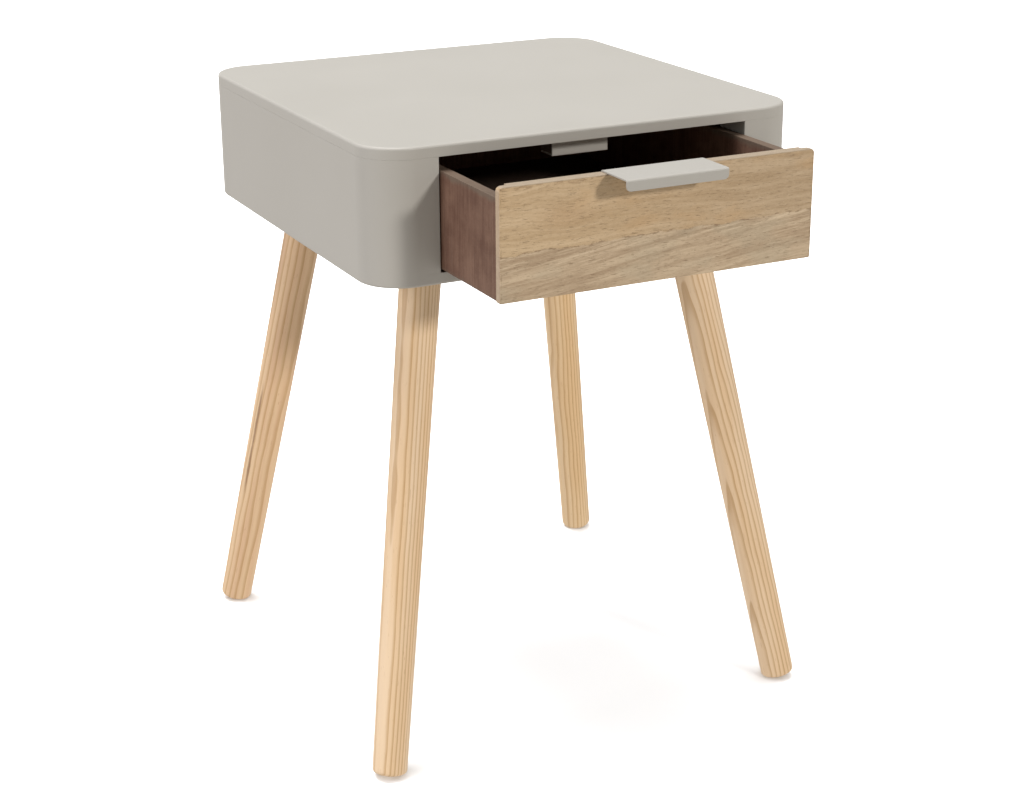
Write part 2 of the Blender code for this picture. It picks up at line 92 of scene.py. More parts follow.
def case_outline():
    """The case seen from above, anticlockwise from the left end of the opening."""
    left, right = lid_low.x + corner_radius, lid_high.x - corner_radius
    front, back = lid_low.y + corner_radius, lid_high.y - corner_radius
    points = [(-jamb, lid_low.y), (jamb, lid_low.y)]
    for middle, start in (
        ((right, front), -0.5 * pi),
        ((right, back), 0.0),
        ((left, back), 0.5 * pi),
        ((left, front), pi),
    ):
        points += arc(middle, corner_radius, start, 0.5 * pi, CORNER_STEPS)
    return points


def prism(outline, low, high):
    """A bmesh of an outline raised from low to high."""
    bm = bmesh.new()
    face = bm.faces.new([bm.verts.new((x, y, low)) for x, y in outline])
    raised = bmesh.ops.extrude_face_region(bm, geom=[face])["geom"]
    top = [item for item in raised if isinstance(item, bmesh.types.BMVert)]
    bmesh.ops.translate(bm, vec=(0, 0, high - low), verts=top)
    bmesh.ops.recalc_face_normals(bm, faces=bm.faces)
    return bm


def ease(bm, radius, steps, chosen):
    """Rounds the edges whose two ends both pass a test."""
    edges = [e for e in bm.edges if all(chosen(v.co) for v in e.verts)]
    bmesh.ops.bevel(bm, geom=edges, offset=radius, segments=steps, profile=0.5, affect="EDGES")


def near(value, target):
    return abs(value - target) < 1e-6


def shaped(name, bm, *finishes):
    """An object from a bmesh, smooth over its rounds and crisp at its corners."""
    mesh = bpy.data.meshes.new(name)
    bmesh.ops.recalc_face_normals(bm, faces=bm.faces)
    bm.to_mesh(mesh)
    bm.free()
    mesh.shade_smooth()
    mesh.set_sharp_from_angle(angle=CRISP)
    for finish in finishes:
        mesh.materials.append(finish)
    made = bpy.data.objects.new(name, mesh)
    bpy.context.collection.objects.link(made)
    flat = made.modifiers.new("flat faces stay flat", "WEIGHTED_NORMAL")
    flat.keep_sharp = True
    return made


class Wire:
    """A value in a material. Arithmetic on it adds the nodes that work it out."""

    def __init__(self, socket):
        self.socket = socket

    def node(self, kind, settings, sockets, out=0):
        """Adds any node: its settings first, then its sockets' values or links."""
        tree = self.socket.id_data
        added = tree.nodes.new("ShaderNode" + kind)
        for name, value in settings.items():
            setattr(added, name, value)
        for name, value in sockets.items():
            if isinstance(value, Wire):
                tree.links.new(value.socket, added.inputs[name])
            else:
                added.inputs[name].default_value = value
        return Wire(added.outputs[out])

    def math(self, operation, *values):
        return self.node("Math", {"operation": operation}, dict(enumerate(values)))

    def __add__(self, other):
        return self.math("ADD", self, other)

    def __sub__(self, other):
        return self.math("SUBTRACT", self, other)

    def __rsub__(self, other):
        return self.math("SUBTRACT", other, self)

    def __mul__(self, other):
        return self.math("MULTIPLY", self, other)

    def __truediv__(self, other):
        return self.math("DIVIDE", self, other)

    def __pow__(self, other):
        return self.math("POWER", self, other)

    __radd__ = __add__
    __rmul__ = __mul__

    def size(self):
        """This without its sign."""
        return self.math("ABSOLUTE", self)

    def fraction(self):
        """What is left of this above its whole number."""
        return self.math("FRACT", self)

    def axis(self, number):
        """One of the three parts of a place, X, Y or Z."""
        return self.node("SeparateXYZ", {}, {0: self}, number)

    def scaled(self, *factors):
        """A place drawn out or squeezed along each axis."""
        return self.node("VectorMath", {"operation": "MULTIPLY"}, {0: self, 1: factors})

    def moved(self, *distances):
        return self.node("VectorMath", {"operation": "ADD"}, {0: self, 1: distances})

    def noise(self, scale, detail=3.0, roughness=0.5, distortion=0.0):
        sockets = {"Vector": self, "Scale": scale, "Detail": detail}
        sockets |= {"Roughness": roughness, "Distortion": distortion}
        return self.node("TexNoise", {}, sockets)

    def ramp(self, low, high):
        """Nought below low and one above high, with a soft rise between them."""
        sockets = {"Value": self, "From Min": low, "From Max": high}
        return self.node("MapRange", {"interpolation_type": "SMOOTHSTEP"}, sockets)

    def tint(self, first, second):
        """The first colour where this is nought, and the second where it is one."""
        colours = [c if isinstance(c, Wire) else (*c, 1.0) for c in (first, second)]
        sockets = {0: self, 6: colours[0], 7: colours[1]}
        return self.node("Mix", {"data_type": "RGBA"}, sockets, 2)

    def relief(self, height):
        """A surface normal from this height, of at most that many metres."""
        return self.node("Bump", {}, {"Height": self, "Distance": height, "Strength": 1.0})


def begin(name):
    """A new material: itself, its surface shader, and the place on the piece."""
    material = bpy.data.materials.new(name)
    material.use_nodes = True
    nodes = material.node_tree.nodes
    place = Wire(nodes.new("ShaderNodeTexCoord").outputs["Object"])
    return material, nodes["Principled BSDF"], place


def feed(surface, **sockets):
    """Sets or links the shader's own sockets, named with underscores for spaces."""
    for name, value in sockets.items():
        socket = surface.inputs[name.replace("_", " ")]
        if isinstance(value, Wire):
            surface.id_data.links.new(value.socket, socket)
        else:
            socket.default_value = value


def sprayed(name, colour, shadow_colour, peel):
    """Satin lacquer: even colour with a faint cloudiness, fine peel and a few dust nibs."""
    material, surface, place = begin(name)
    cloud = place.noise(9.0, 4.0, 0.6)
    fine = place.noise(1400.0, 2.0)
    nibs = place.noise(420.0, 1.0).ramp(0.76, 0.82)
    faded = (cloud * 0.8 + fine * 0.2).ramp(0.25, 0.75)
    waves = place.noise(55.0, 2.0) * 0.45 + place.noise(peel, 2.0) * 0.35 + nibs * 0.2
    feed(
        surface,
        Base_Color=faded.tint(shadow_colour, colour),
        Roughness=0.47 + cloud * 0.08 + fine * 0.05,
        Normal=waves.relief(0.00012),
        Specular_IOR_Level=0.42,
    )
    return material


lacquer = sprayed("satin_taupe_lacquer", (0.403, 0.384, 0.344), (0.390, 0.371, 0.331), 700.0)

# Raw fibreboard for the faces inside the case, far darker than raw board: painted shade for the dark
# inside of the case.
raw_board_as_painted_shade, surface, place = begin("raw_fibreboard_darkened_as_shade")
fibres = place.noise(900.0, 6.0, 0.75)
smears = place.noise(30.0, 4.0, 0.6)
feed(
    surface,
    Base_Color=(fibres * 0.6 + smears * 0.4).ramp(0.3, 0.7).tint(
        (0.080, 0.058, 0.044), (0.150, 0.112, 0.086)
    ),
    Roughness=0.82 + fibres * 0.12,
    Normal=fibres.relief(0.00015),
)


def raw_and_shaded_inside(bm, seen_from_inside):
    """Gives the second finish, raw board made dark as painted shade, to the faces whose middle and
    normal pass a test.
    """
    bmesh.ops.recalc_face_normals(bm, faces=bm.faces)
    for face in bm.faces:
        if seen_from_inside(face.calc_center_median(), face.normal):
            face.material_index = 1


lid = prism(case_outline(), lid_low.z, lid_high.z)
ease(lid, EDGE_ROUND, 6, lambda co: near(co.z, lid_high.z))
ease(lid, SEAM, 1, lambda co: near(co.z, lid_low.z))
# The lid's underside gets the dark raw board, painted shade inside the case.
raw_and_shaded_inside(lid, lambda middle, normal: normal.z < -0.9)
lid = shaped("case_lid", lid, lacquer, raw_board_as_painted_shade)
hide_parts("tabletop")
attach(lid, "case")

# ---- The walls ---------------------------------------------------------------------------
# Two sides, a back, two front posts and two rounded rear corners, all of fibreboard, glued
# into one band, filled and sanded so that no joint shows, and lacquered with the lid.

post_low, post_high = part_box("front_post_right")
back_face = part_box("back_wall")[0].y
base_low, base_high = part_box("floor_panel")

outer = case_outline()
outer = outer[1:] + outer[:1]
inner = [
    (jamb, post_high.y),
    (inner_face, post_high.y),
    (inner_face, corner_low.y),
    (corner_low.x, corner_low.y),
    (corner_low.x, back_face),
]
mirrored = [(-x, y) for x, y in inner]
walls = prism(outer + mirrored + inner[::-1], base_high.z, lid_low.z)
ease(walls, SEAM, 1, lambda co: near(co.z, lid_low.z))
ease(walls, OPENING_ARRIS, 3, lambda co: near(abs(co.x), jamb) and near(co.y, lid_low.y))


def inside_the_band(middle, normal):
    """Every upright face behind the posts that looks into the case."""
    within = abs(middle.x) <= inner_face + 1e-5 and middle.y <= back_face + 1e-5
    return within and middle.y > post_high.y - 1e-5 and abs(normal.z) < 0.5


# The faces inside the band get the dark raw board, painted shade inside the case.
raw_and_shaded_inside(walls, inside_the_band)
walls = shaped("case_walls", walls, lacquer, raw_board_as_painted_shade)
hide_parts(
    "side_wall_left",
    "side_wall_right",
    "back_wall",
    "front_post_left",
    "front_post_right",
    "rear_corner_left",
    "rear_corner_right",
)
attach(walls, "case")

# ---- The base ----------------------------------------------------------------------------
# The case's floor is a board like the lid, its lower rim eased. Screws go up through it into
# the walls, and a flanged nut is let into it from above over each leg.

HOLE_CLEARANCE = 0.0003
COUNTERSINK_PAST = 0.004
CUT_PAST = 0.01
CASE_HOLE_DEPTH = 0.02
NUT_FLANGE = 0.0017
BORE_SIDES = 40
NUT_SIDES = 48

CASE_SCREWS = [f"case_screw_{number}" for number in range(1, 9)]
LEGS = [f"{row}_{hand}" for row, hand in product(("front", "rear"), ("left", "right"))]


def turned(profile, sides):
    """A bmesh turned about Z from (radius, height) points that start and end on the axis."""
    bm = bmesh.new()
    verts = [bm.verts.new((radius, 0, height)) for radius, height in profile]
    edges = [bm.edges.new(pair) for pair in zip(verts, verts[1:])]
    turn = {"cent": (0, 0, 0), "axis": (0, 0, 1), "angle": 2 * pi, "steps": sides}
    bmesh.ops.spin(bm, geom=verts + edges, use_merge=True, **turn)
    bmesh.ops.remove_doubles(bm, verts=bm.verts, dist=1e-7)
    bmesh.ops.recalc_face_normals(bm, faces=bm.faces)
    return bm


def block(low, high):
    """A bmesh of a board between two corners."""
    bm = bmesh.new()
    bmesh.ops.create_cube(bm, size=1.0)
    bmesh.ops.scale(bm, vec=Vector(high) - Vector(low), verts=bm.verts)
    bmesh.ops.translate(bm, vec=(Vector(low) + Vector(high)) / 2, verts=bm.verts)
    return bm


def carve(target, tools):
    """Takes each tool's shape out of a bmesh, and gives back what is left."""
    mesh = bpy.data.meshes.new("carved")
    target.to_mesh(mesh)
    target.free()
    work = bpy.data.objects.new("carved", mesh)
    bpy.context.collection.objects.link(work)
    made = [work]
    for tool in tools:
        tool_mesh = bpy.data.meshes.new("tool")
        bmesh.ops.recalc_face_normals(tool, faces=tool.faces)
        tool.to_mesh(tool_mesh)
        tool.free()
        tool_object = bpy.data.objects.new("tool", tool_mesh)
        bpy.context.collection.objects.link(tool_object)
        made.append(tool_object)
        boolean = work.modifiers.new("cut", "BOOLEAN")
        boolean.solver = "EXACT"
        boolean.object = tool_object
    bpy.context.view_layer.update()
    left = bmesh.new()
    left.from_object(work, bpy.context.evaluated_depsgraph_get())
    for item in made:
        bpy.data.objects.remove(item, do_unlink=True)
    return left


def placed(bm, matrix):
    bm.transform(matrix)
    return bm


def centred(low, high, height):
    """The middle of a box seen from above, at a height."""
    return Vector(((low.x + high.x) / 2, (low.y + high.y) / 2, height))


def screw_hole(like, depth):
    """The countersunk hole round a CAD screw whose head is at its low end."""
    low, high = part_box(like)
    head = (high.x - low.x) / 2 + HOLE_CLEARANCE
    shank = head / 2
    profile = [(0, -COUNTERSINK_PAST), (head, -COUNTERSINK_PAST), (head, 0)]
    profile += [(shank, head - shank), (shank, depth), (0, depth)]
    return placed(turned(profile, BORE_SIDES), Matrix.Translation(centred(low, high, low.z)))


base = prism(case_outline(), base_low.z, base_high.z)
ease(base, EDGE_ROUND, 6, lambda co: near(co.z, base_low.z))
ease(
    base,
    OPENING_ARRIS,
    3,
    lambda co: near(co.z, base_high.z) and near(co.y, base_low.y) and abs(co.x) < jamb + 1e-5,
)
holes = [screw_hole(name, CASE_HOLE_DEPTH) for name in CASE_SCREWS]
for name in LEGS:
    low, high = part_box("leg_nut_" + name)
    flange = (high.x - low.x) / 2 + HOLE_CLEARANCE
    barrel = flange / 2
    seat = high.z - NUT_FLANGE
    under, over = base_low.z - CUT_PAST, base_high.z + CUT_PAST
    profile = [(0, under), (barrel, under), (barrel, seat), (flange, seat), (flange, over), (0, over)]
    middle = Matrix.Translation(centred(low, high, 0))
    holes.append(placed(turned(profile, NUT_SIDES), middle))
base = carve(base, holes)
# The base's inner top gets the dark raw board, painted shade inside the case.
raw_and_shaded_inside(base, lambda middle, normal: normal.z > 0.9 and middle.y > post_high.y - 0.03)
base = shaped("case_base", base, lacquer, raw_board_as_painted_shade)
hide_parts("floor_panel")
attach(base, "case")

# ---- The fasteners -----------------------------------------------------------------------
# Zinc-plated steel wood screws with a cross recess in their heads: eight under the base,
# two in the stop and two behind the pull. The leg bolts and their nuts are plated too.

zinc, surface, place = begin("bright_zinc_plate")
speckle = place.noise(2600.0, 4.0, 0.7)
film = place.noise(380.0, 3.0)
feed(
    surface,
    Base_Color=(film * 0.6 + speckle * 0.4).ramp(0.3, 0.7).tint(
        (0.50, 0.49, 0.44), (0.66, 0.66, 0.64)
    ),
    Metallic=1.0,
    Roughness=0.24 + speckle * 0.22,
    Normal=speckle.relief(0.00001),
)


THREAD_ROOT = 0.74
WOOD_PITCH = 0.0011


def cross_recess(head_radius, depth):
    """The bits of a cross-headed driver: two tapered blades at right angles."""
    blades = []
    for quarter in (0, 1):
        blade = block(
            (-0.55 * head_radius, -0.11 * head_radius, -depth),
            (0.55 * head_radius, 0.11 * head_radius, depth),
        )
        for v in blade.verts:
            if v.co.z > 0:
                v.co.x *= 0.35
        blades.append(placed(blade, Matrix.Rotation(quarter * 0.5 * pi + 0.4, 4, "Z")))
    return blades


def threaded(radius, start, end, pitch):
    """A profile's steps for the ridges that a thread makes, from start to end."""
    points = []
    turns = int((end - start) / pitch)
    for turn in range(turns):
        height = start + turn * pitch
        points += [(THREAD_ROOT * radius, height), (radius, height + 0.5 * pitch)]
    return points + [(THREAD_ROOT * radius, start + turns * pitch)]


def countersunk(name, like):
    """A flat-headed wood screw in the place of a CAD one, with its head at its low end."""
    low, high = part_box(like)
    head = (high.x - low.x) / 2
    radius, length = head / 2, high.z - low.z
    profile = [(0, 0), (head - 0.0002, 0), (head, 0.0002), (radius, head - radius)]
    profile += threaded(radius, length * 0.35, length - 2.2 * radius, WOOD_PITCH)
    profile += [(0, length)]
    bm = carve(turned(profile, BORE_SIDES), cross_recess(head, 0.55 * head))
    middle = Matrix.Translation(centred(low, high, low.z))
    screw = shaped(name, placed(bm, middle), zinc)
    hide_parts(like)
    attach(screw, "case")


for name in CASE_SCREWS + ["stop_screw_left", "stop_screw_right"]:
    countersunk("plated_" + name, name)

for name in LEGS:
    frame["nodes"]["leg_bolt_" + name].material_slots[0].material = zinc
    frame["nodes"]["leg_nut_" + name].material_slots[0].material = zinc

# ---- The drawer's ways -------------------------------------------------------------------
# Planed strips of beech that are glued and pinned inside the case: runners under the drawer,
# guides beside it and kickers above it. The dowels under the lid are beech too.

beech, surface, place = begin("planed_beech")
along = place.scaled(1.0, 0.06, 1.0)
flecks = along.noise(1500.0, 3.0).ramp(0.56, 0.68)
bands = along.noise(160.0, 3.0, 0.6)
feed(
    surface,
    Base_Color=flecks.tint(
        bands.ramp(0.3, 0.7).tint((0.40, 0.25, 0.14), (0.52, 0.35, 0.21)), (0.26, 0.15, 0.08)
    ),
    Roughness=0.55 + bands * 0.15,
    Normal=(bands * 0.5 + flecks * -0.5).relief(0.0001),
)
for name, hand in product(("runner_", "guide_", "kicker_"), ("left", "right")):
    frame["nodes"][name + hand].material_slots[0].material = beech
for number in range(1, 9):
    frame["nodes"][f"top_dowel_{number}"].material_slots[0].material = beech

# ---- The drawer stop ---------------------------------------------------------------------
# A lacquered block screwed up under the lid behind the opening. The drawer's back meets it,
# so that the drawer doesn't come all the way out.

STOP_ARRIS = 0.0009
STOP_HOLE_DEPTH = 0.03

stop_low, stop_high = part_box("drawer_stop")
stop = block(stop_low, stop_high)
ease(stop, STOP_ARRIS, 3, lambda co: near(co.z, stop_low.z))
ease(stop, STOP_ARRIS, 3, lambda co: near(abs(co.x), stop_high.x))
stop = carve(stop, [screw_hole("stop_screw_" + hand, STOP_HOLE_DEPTH) for hand in ("left", "right")])
# The stop's ends get the dark raw board, painted shade inside the case.
raw_and_shaded_inside(stop, lambda middle, normal: abs(normal.x) > 0.9 and near(abs(middle.x), stop_high.x))
stop = shaped("lacquered_stop", stop, lacquer, raw_board_as_painted_shade)
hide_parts("drawer_stop")
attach(stop, "case")

# ---- The legs ----------------------------------------------------------------------------
# Four tapered legs turned from clear pine and sealed with a thin satin varnish. Each is sawn
# level at its top, screws onto a bolt under the case, and has an eased edge round its foot.

LEG_SPLAY = radians(13.3)
LEG_TOP_RADIUS = 0.0179
LEG_FOOT_RADIUS = 0.0152
FOOT_ROUND = 0.0035
SAWING_WASTE = 0.03
LEG_SIDES = 72

LATE_WOOD = (0.430, 0.245, 0.095)


def pine(name, top, lean, pith, slant, spacing, wave, seed, early_wood, heart_wood, stain):
    """Pine with its year rings round a pith that runs beside the leg and slants along it."""
    material, surface, place = begin(name)
    # From here on a place is measured from the leg's top, along and across the leg itself.
    sockets = {"Vector": place, "Location": top, "Rotation": lean.to_euler()}
    place = place.node("Mapping", {"vector_type": "TEXTURE"}, sockets)
    shifted = place.moved(seed, seed, seed)
    wander = shifted.scaled(1, 1, 0.12).noise(16.0, 3.0) - 0.5
    height = place.axis(2)
    across = place.axis(0) - pith[0] + height * slant[0]
    beside = place.axis(1) - pith[1] + height * slant[1]
    ripple = shifted.scaled(1, 1, 0.35).noise(38.0, 2.0) - 0.5
    distance = (across * across + beside * beside) ** 0.5 + (wander + ripple * 0.35) * wave
    year = distance / spacing
    phase = year.fraction()
    late = phase.ramp(0.42, 0.90) * (1 - phase.ramp(0.93, 1.0))
    fibres = shifted.scaled(1, 1, 0.03).noise(2200.0, 4.0, 0.7)
    bands = shifted.scaled(1, 1, 0.05).noise(90.0, 3.0)
    ducts = shifted.scaled(1, 1, 0.10).noise(1100.0, 1.0).ramp(0.69, 0.75)
    wood = bands.ramp(0.35, 0.65).tint(early_wood, heart_wood)
    wood = (late * (0.34 + bands * 0.66)).tint(wood, LATE_WOOD)
    wood = (ducts * 0.35).tint(wood, (0.36, 0.19, 0.08))
    wood = (fibres.ramp(0.35, 0.75) * 0.16).tint(wood, (0.90, 0.68, 0.44))
    if stain:
        side, start, end = stain
        facing = place.axis(0) * cos(side) + place.axis(1) * sin(side)
        beside_it = place.axis(1) * cos(side) - place.axis(0) * sin(side)
        ragged = shifted.scaled(1, 1, 0.16).noise(260.0, 4.0, 0.7)
        offset = (beside_it + wander * 0.006).size()
        streak = 1 - (offset + ragged * 0.0040).ramp(0.0022, 0.0042)
        reach = height.ramp(start, start + 0.03) * (1 - height.ramp(end - 0.03, end))
        mask = streak * reach * facing.ramp(0.010, 0.013) * 0.8
        wood = mask.tint(wood, (0.25, 0.13, 0.06))
    feed(
        surface,
        Base_Color=wood,
        Roughness=0.42 + fibres * 0.14 - late * 0.06,
        Normal=(fibres * 0.4 + late * 0.6).relief(0.00012),
        Specular_IOR_Level=0.40,
    )
    return material


CREAM = (0.740, 0.555, 0.365)
HONEY = (0.690, 0.485, 0.285)
BUFF = (0.700, 0.513, 0.305)
AMBER = (0.655, 0.449, 0.240)
BLUSH = (0.690, 0.485, 0.292)
PEACH = (0.640, 0.420, 0.252)

# Where the pith lies, how it slants, how wide a year is, how far its rings wander, a seed,
# the wood's two tones, and a stain if there is one.
PINE = {
    "front_left": ((-0.066, -0.028), (0.004, -0.006), 0.0034, 0.005, 0.3, CREAM, HONEY, None),
    "front_right": ((-0.050, -0.020), (0.03, 0.03), 0.0040, 0.013, 1.7, CREAM, HONEY, None),
    "rear_left": (
        (-0.075, 0.050), (0.01, 0.03), 0.0060, 0.012, 2.9, BLUSH, PEACH, (pi * 1.15, -0.33, -0.19)
    ),
    "rear_right": ((0.066, -0.010), (-0.01, 0.02), 0.0036, 0.009, 4.1, BUFF, AMBER, None),
}

case_gap = base_low.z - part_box("leg_front_left")[1].z
foot_lift = (LEG_FOOT_RADIUS - FOOT_ROUND) * sin(LEG_SPLAY)
leg_length = (base_low.z - case_gap - foot_lift) / cos(LEG_SPLAY)
foot_arc = arc((LEG_FOOT_RADIUS - FOOT_ROUND, FOOT_ROUND), FOOT_ROUND, -0.5 * pi, 0.5 * pi, 8)
leg_profile = [(0, 0)] + foot_arc
leg_profile += [(LEG_TOP_RADIUS, leg_length), (LEG_TOP_RADIUS, leg_length + SAWING_WASTE)]
leg_profile += [(0, leg_length + SAWING_WASTE)]

for name in LEGS:
    low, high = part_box("leg_bolt_" + name)
    top = centred(low, high, base_low.z - case_gap)
    centre_y = (base_low.y + base_high.y) / 2
    outward = Vector((top.x, top.y - centre_y, 0)).normalized()
    lean = Matrix.Rotation(-LEG_SPLAY, 4, Vector((0, 0, 1)).cross(outward))
    leg = placed(turned(leg_profile, LEG_SIDES), Matrix.Translation((0, 0, -leg_length)))
    sawn = bmesh.ops.bisect_plane(
        leg,
        geom=leg.verts[:] + leg.edges[:] + leg.faces[:],
        plane_co=(0, 0, 0),
        plane_no=lean.inverted() @ Vector((0, 0, 1)),
        clear_outer=True,
    )
    rim = [item for item in sawn["geom_cut"] if isinstance(item, bmesh.types.BMEdge)]
    bmesh.ops.contextual_create(leg, geom=rim)
    bolt_radius = (high.x - low.x) / 2 + HOLE_CLEARANCE
    depth = top.z - low.z + HOLE_CLEARANCE
    profile = [(0, -depth), (bolt_radius, -depth), (bolt_radius, CUT_PAST), (0, CUT_PAST)]
    leg = carve(leg, [placed(turned(profile, BORE_SIDES), lean.inverted())])
    leg = placed(leg, Matrix.Translation(top) @ lean)
    leg = shaped("turned_leg_" + name, leg, pine("pine_" + name, top, lean, *PINE[name]))
    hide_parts("leg_" + name)
    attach(leg, "case")

# ---- The drawer's front ------------------------------------------------------------------
# Two strips of pale hardwood glued edge to edge, with level grain, limed and left matt. Its
# corners are slightly round, the upper ones more, and it is rebated behind for the sides and
# the pull.

FRONT_CORNER_RADIUS = 0.004
LOWER_CORNER_RADIUS = 0.0015
FRONT_ARRIS = 0.0008
SIDE_FIT = 0.0003
GROOVE_FIT = 0.0001
PULL_FIT = 0.0002
PULL_LET_IN = 0.0013
PULL_FLANGE = 0.018

front_low, front_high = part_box("drawer_front")
side_low, side_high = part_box("drawer_side_right")
bottom_low, bottom_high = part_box("drawer_bottom")
pull_low, pull_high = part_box("drawer_pull")
front_height = front_high.z - front_low.z
joint_height = front_low.z + 0.43 * front_height

limed, surface, place = begin("limed_hardwood")
across = place.axis(0)
up = place.axis(2)
ragged = place.scaled(1, 0, 0.2).noise(34.0, 5.0, 0.62) - 0.5
joint = joint_height + ragged * 0.010 + across * 0.012
upper = (up - joint).ramp(-0.0008, 0.0008)
knot_x = (across + 0.085) / 2.6
knot_z = up - (front_low.z + 0.70 * front_height)
knot = 1 - (knot_x * knot_x + knot_z * knot_z) ** 0.5 / 0.016
knot = knot.ramp(0.0, 1.0)
swirl = place.noise(11.0, 2.0) - 0.5
upper_z = up + swirl * 0.020 + knot * 0.006
upper_line = upper_z.node(
    "CombineXYZ", {}, {0: across * 0.045, 1: place.axis(1), 2: upper_z}
)
lower_z = up - across * 0.13 + swirl * 0.008
lower_line = lower_z.node(
    "CombineXYZ", {}, {0: across * 0.05 + 3.0, 1: place.axis(1), 2: lower_z}
)
upper_bands = upper_line.noise(150.0, 6.0, 0.66) * 0.72 + upper_line.noise(620.0, 4.0, 0.7) * 0.28
lower_bands = lower_line.noise(210.0, 6.0, 0.66) * 0.72 + lower_line.noise(700.0, 4.0, 0.7) * 0.28
pale_end = upper_bands.ramp(0.36, 0.64).tint((0.445, 0.311, 0.173), (0.569, 0.422, 0.258))
brown_end = upper_bands.ramp(0.36, 0.64).tint((0.373, 0.261, 0.150), (0.477, 0.354, 0.223))
upper_wood = across.ramp(-0.13, 0.14).tint(pale_end, brown_end)
upper_wood = (knot * 0.55).tint(upper_wood, (0.400, 0.255, 0.130))
lower_wood = lower_bands.ramp(0.36, 0.64).tint((0.356, 0.252, 0.156), (0.543, 0.420, 0.280))
patches = place.scaled(0.45, 1, 1).noise(30.0, 3.0, 0.6)
upper_wood = (patches.ramp(0.50, 0.68) * 0.35).tint(upper_wood, (0.500, 0.315, 0.150))
lower_wood = (patches.ramp(0.45, 0.62) * 0.35).tint(lower_wood, (0.410, 0.350, 0.245))
wood = upper.tint(lower_wood, upper_wood)
pale = lower_bands.ramp(0.45, 0.65) * (1 - (joint - up).ramp(0.004, 0.016)) * (1 - upper)
wood = (pale * 0.6).tint(wood, (0.640, 0.510, 0.350))
dashes = place.scaled(0.30, 1, 1).noise(520.0, 3.0, 0.7).ramp(0.46, 0.60)
seam_line = 1 - (up - joint).size().ramp(0.0002, 0.0011)
wood = (seam_line * dashes * 0.65).tint(wood, (0.170, 0.100, 0.050))
under_top = (up - front_high.z).ramp(-0.0060, -0.0022) * dashes * (1 - across.ramp(-0.02, 0.03))
wood = (under_top * 0.5).tint(wood, (0.230, 0.135, 0.065))
mottle = place.scaled(0.40, 1, 1).noise(620.0, 5.0, 0.8)
wood = (mottle.ramp(0.50, 0.70) * 0.30).tint(wood, (0.290, 0.200, 0.120))
wood = ((1 - mottle.ramp(0.30, 0.48)) * 0.25).tint(wood, (0.680, 0.540, 0.370))
pores = place.scaled(0.070, 1, 1).noise(1500.0, 3.0, 0.65).ramp(0.58, 0.68)
spots = place.scaled(0.35, 1, 1).noise(700.0, 2.0).ramp(0.68, 0.75)
wood = (pores * 0.60).tint(wood, (0.215, 0.135, 0.072))
wood = (spots * 0.42).tint(wood, (0.170, 0.105, 0.056))
sawn_top = (up - front_high.z).ramp(-0.0012, -0.0003)
wood = (sawn_top * 0.85).tint(wood, (0.320, 0.258, 0.190))
from_end = across.size() - front_high.x
sawn_end = from_end.ramp(-0.0006, -0.0002)
# A dark line just in from each end: painted shade of a rounded end arris, broken up by the grain's
# dashes.
end_arris_painted_shade = from_end.ramp(-0.0024, -0.0014) * (1 - from_end.ramp(-0.0012, -0.0007)) * dashes
wood = (end_arris_painted_shade * 0.5).tint(wood, (0.200, 0.130, 0.075))
wood = (sawn_end * 0.7).tint(wood, (0.410, 0.310, 0.220))
feed(
    surface,
    Base_Color=wood,
    Roughness=0.58 + pores * 0.18,
    Normal=(upper_bands * 0.35 + pores * -0.65).relief(0.00018),
    Specular_IOR_Level=0.30,
)


def upright(bm, back, low):
    """Stands up a flat board: its thickness comes to run forwards from its back."""
    return placed(bm, Matrix.Translation((0, back, low)) @ Matrix.Rotation(0.5 * pi, 4, "X"))


half = front_high.x
round_top = front_height - FRONT_CORNER_RADIUS
low_x, low_z = half - LOWER_CORNER_RADIUS, LOWER_CORNER_RADIUS
outline = arc((-low_x, low_z), LOWER_CORNER_RADIUS, pi, 0.5 * pi, 6)
outline += arc((low_x, low_z), LOWER_CORNER_RADIUS, -0.5 * pi, 0.5 * pi, 6)
outline += arc((half - FRONT_CORNER_RADIUS, round_top), FRONT_CORNER_RADIUS, 0, 0.5 * pi, 10)
outline += arc((FRONT_CORNER_RADIUS - half, round_top), FRONT_CORNER_RADIUS, 0.5 * pi, 0.5 * pi, 10)
thickness = front_high.y - front_low.y
front = prism(outline, 0, thickness)
ease(front, FRONT_ARRIS, 3, lambda co: near(co.z, thickness))
front = upright(front, front_high.y, front_low.z)
behind, above_it = front_high.y + CUT_PAST, front_high.z + CUT_PAST
rebates = []
for side in (-1, 1):
    left, right = sorted((side * (side_low.x - SIDE_FIT), side * (half + CUT_PAST)))
    low = (left, side_low.y - GROOVE_FIT, front_low.z - CUT_PAST)
    rebates.append(block(low, (right, behind, above_it)))
pull_foot = pull_high.z - PULL_FLANGE - PULL_FIT
low = (pull_low.x - PULL_FIT, front_high.y - PULL_LET_IN, pull_foot)
pull_seat = block(low, (pull_high.x + PULL_FIT, behind, above_it))


def bottom_groove():
    """The room that the drawer's bottom needs in the boards round it."""
    loose = Vector((GROOVE_FIT, GROOVE_FIT, GROOVE_FIT))
    return block(bottom_low - loose, bottom_high + loose)


front = carve(front, rebates + [bottom_groove(), pull_seat])
front = shaped("limed_front", front, limed)
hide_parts("drawer_front")
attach(front, "drawer")

# ---- The drawer's box --------------------------------------------------------------------
# Sides and back of thin plywood, wiped with a red-brown stain that has worn off along the
# upper edges, and a bottom of dark hardboard that slides into a groove all round.

BOARD_ARRIS = 0.0005
BOTTOM_ARRIS = 0.0003


